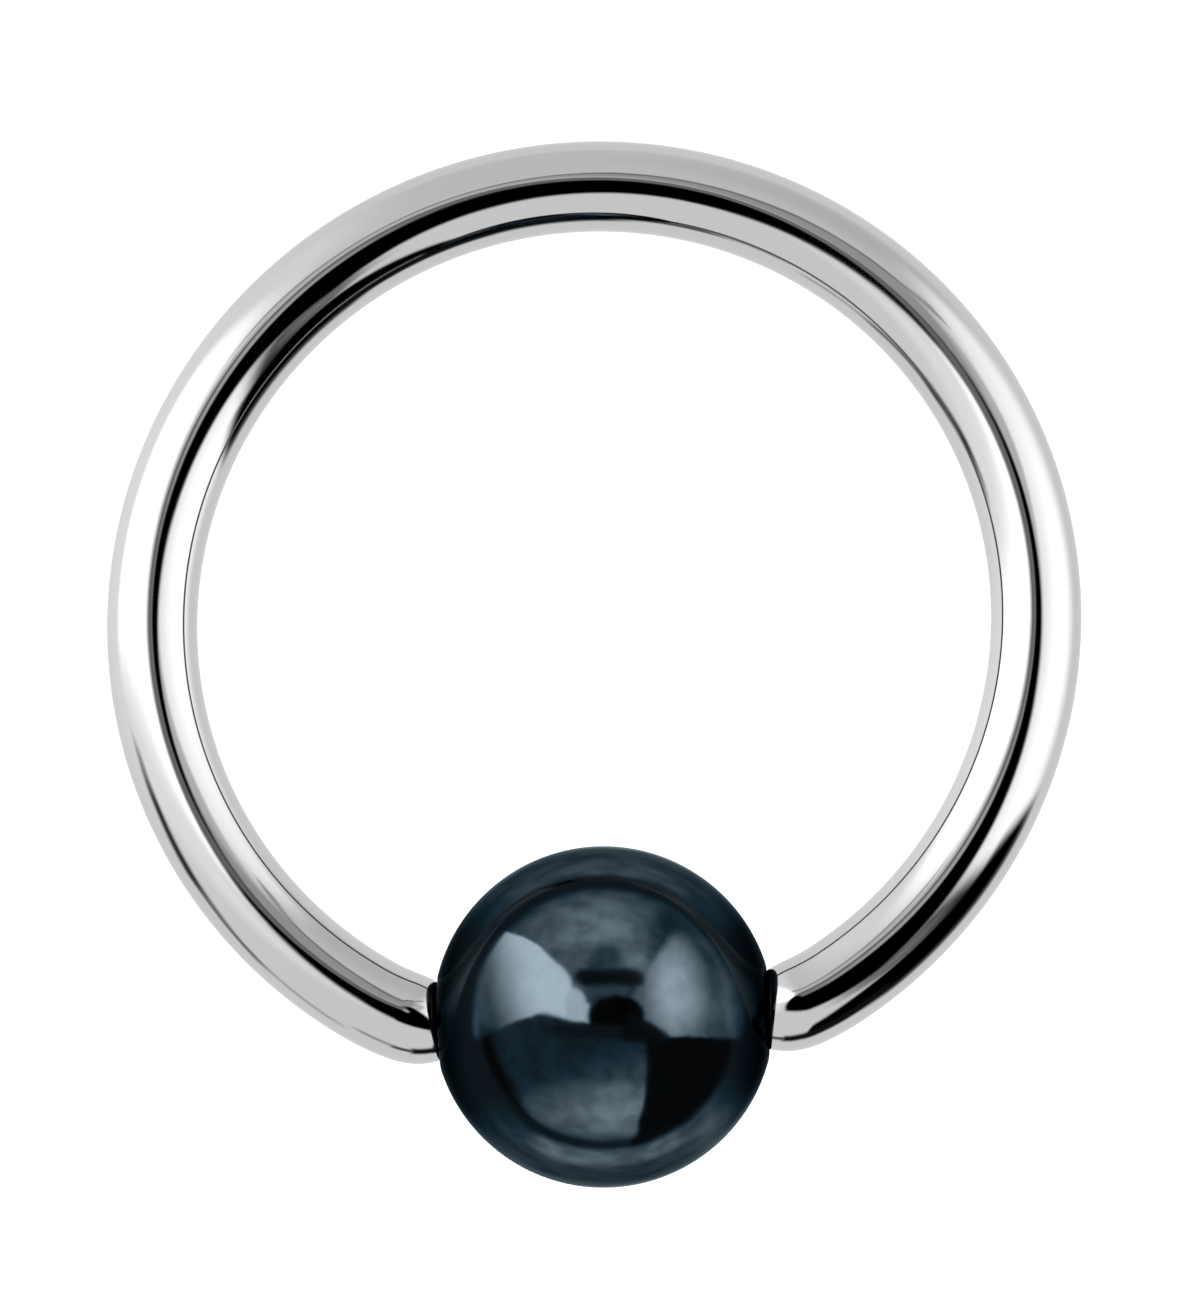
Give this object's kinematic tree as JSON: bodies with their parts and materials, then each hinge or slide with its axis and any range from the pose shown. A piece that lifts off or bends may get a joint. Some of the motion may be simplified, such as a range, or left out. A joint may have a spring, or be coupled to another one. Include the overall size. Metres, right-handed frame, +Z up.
{
  "type": "captive bead ring",
  "caption": "Captive bead ring for a piercing: a round steel wire bent into an almost closed ring, its rounded ends seated in the dimples of a dark polished ball.",
  "frame": {"origin": "on the surface that the ring lies on, below the middle of its length and width", "axes": "+Z up; -Y towards the bead and +Y towards the far side of the ring; +X along the line that the bead spins on, to the right seen from the bead's side. The ring lies on its side, its plane raised by 8.5 degrees at the bead."},
  "size_m": [0.0172, 0.0186, 0.006],
  "materials": {
    "polished_steel": "polished surgical steel",
    "dark_bead": "polished blue-black haematite"
  },
  "bodies": {
    "ring": {"ring": "polished_steel"},
    "bead": {"bead": "dark_bead"}
  },
  "joints": [
    {"name": "bead_spin", "type": "hinge", "parent": "ring", "child": "bead", "pos_m": [0, -0.00626, 0.003], "axis": [1, 0, 0], "continuous": true}
  ]
}
